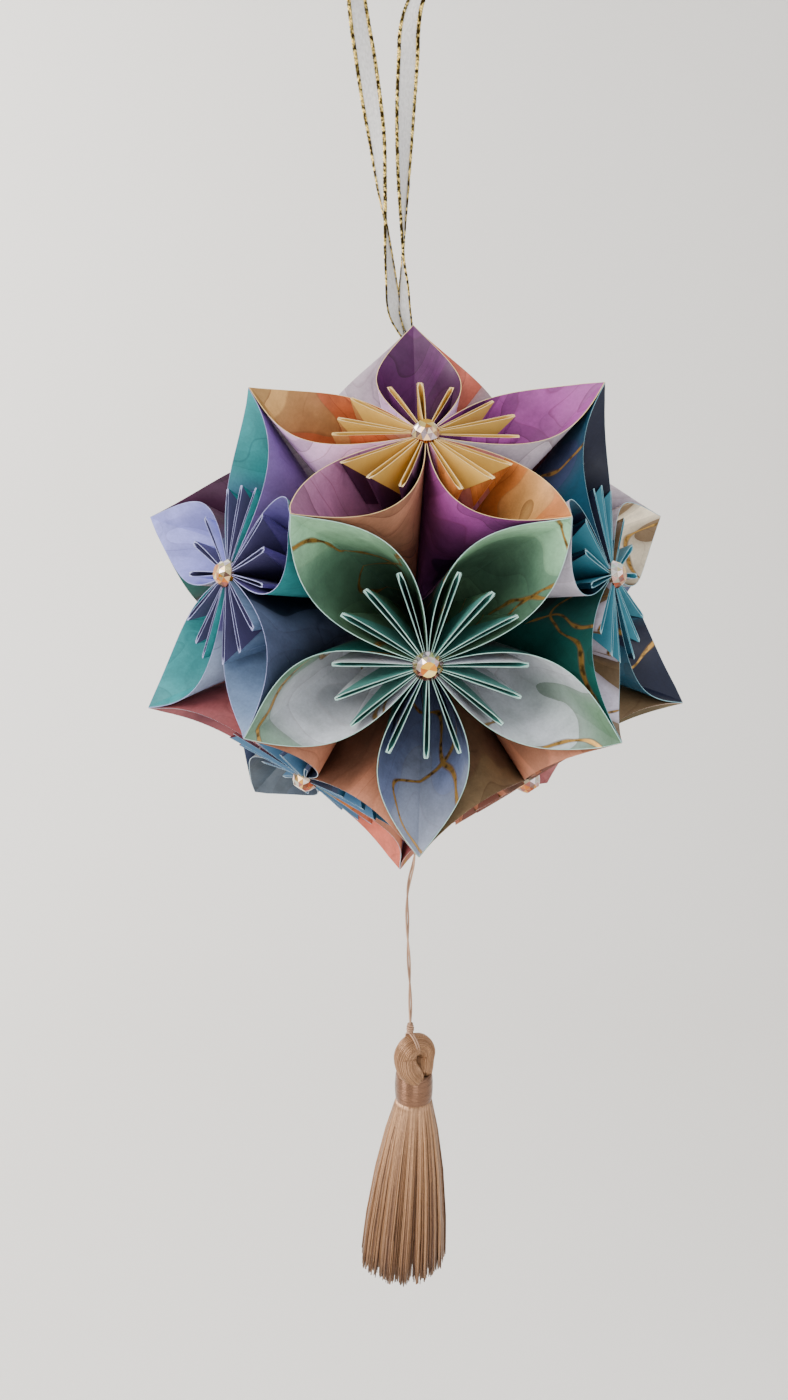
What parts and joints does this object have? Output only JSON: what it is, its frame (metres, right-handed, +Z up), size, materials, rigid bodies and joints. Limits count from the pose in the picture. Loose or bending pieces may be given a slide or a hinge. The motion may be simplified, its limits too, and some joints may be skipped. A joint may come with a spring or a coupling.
{
  "type": "kusudama paper ball",
  "caption": "Hanging ornament: a ball of folded paper flowers with faceted stones in their middles, on a ribbon loop, with a thread tassel below.",
  "frame": {"origin": "top of the ribbon's hanging loop, above the ball's upright axis", "axes": "+Z up through the ball's top tip; the front, with two flowers on its middle line, faces -Y"},
  "size_m": [0.1426, 0.1332, 0.373],
  "materials": {
    "paper_gold": "satin double-sided paper, ink wash print on the face and plain colour on the back",
    "paper_rose": "satin double-sided paper, ink wash print on the face and plain colour on the back",
    "paper_slate": "satin double-sided paper, ink wash print on the face and plain colour on the back",
    "paper_green": "satin double-sided paper, ink wash print on the face and plain colour on the back",
    "paper_violet": "satin double-sided paper, ink wash print on the face and plain colour on the back",
    "paper_navy": "satin double-sided paper, ink wash print on the face and plain colour on the back",
    "paper_steel": "satin double-sided paper, ink wash print on the face and plain colour on the back",
    "paper_rust": "satin double-sided paper, ink wash print on the face and plain colour on the back",
    "stone": "faceted, foil-backed, with a rainbow coat",
    "ribbon": "semi-sheer woven ribbon with metallic edges",
    "cord": "twisted thread",
    "tassel": "silky thread",
    "band": "satin, tightly wound"
  },
  "bodies": {
    "root": {"flower_01": "paper_gold", "flower_02": "paper_rose", "flower_03": "paper_slate", "flower_04": "paper_green", "flower_05": "paper_violet", "flower_06": "paper_navy", "flower_07": "paper_green", "flower_08": "paper_violet", "flower_09": "paper_navy", "flower_10": "paper_gold", "flower_11": "paper_steel", "flower_12": "paper_rust", "gem_01": "stone", "gem_02": "stone", "gem_03": "stone", "gem_04": "stone", "gem_05": "stone", "gem_06": "stone", "gem_07": "stone", "gem_08": "stone", "gem_09": "stone", "gem_10": "stone", "gem_11": "stone", "gem_12": "stone", "hanging_ribbon": "ribbon", "tassel_cord": "cord", "cord_knot": "cord", "tassel_head": "tassel", "tassel_band": "band", "tassel_skirt": "tassel"}
  },
  "joints": []
}
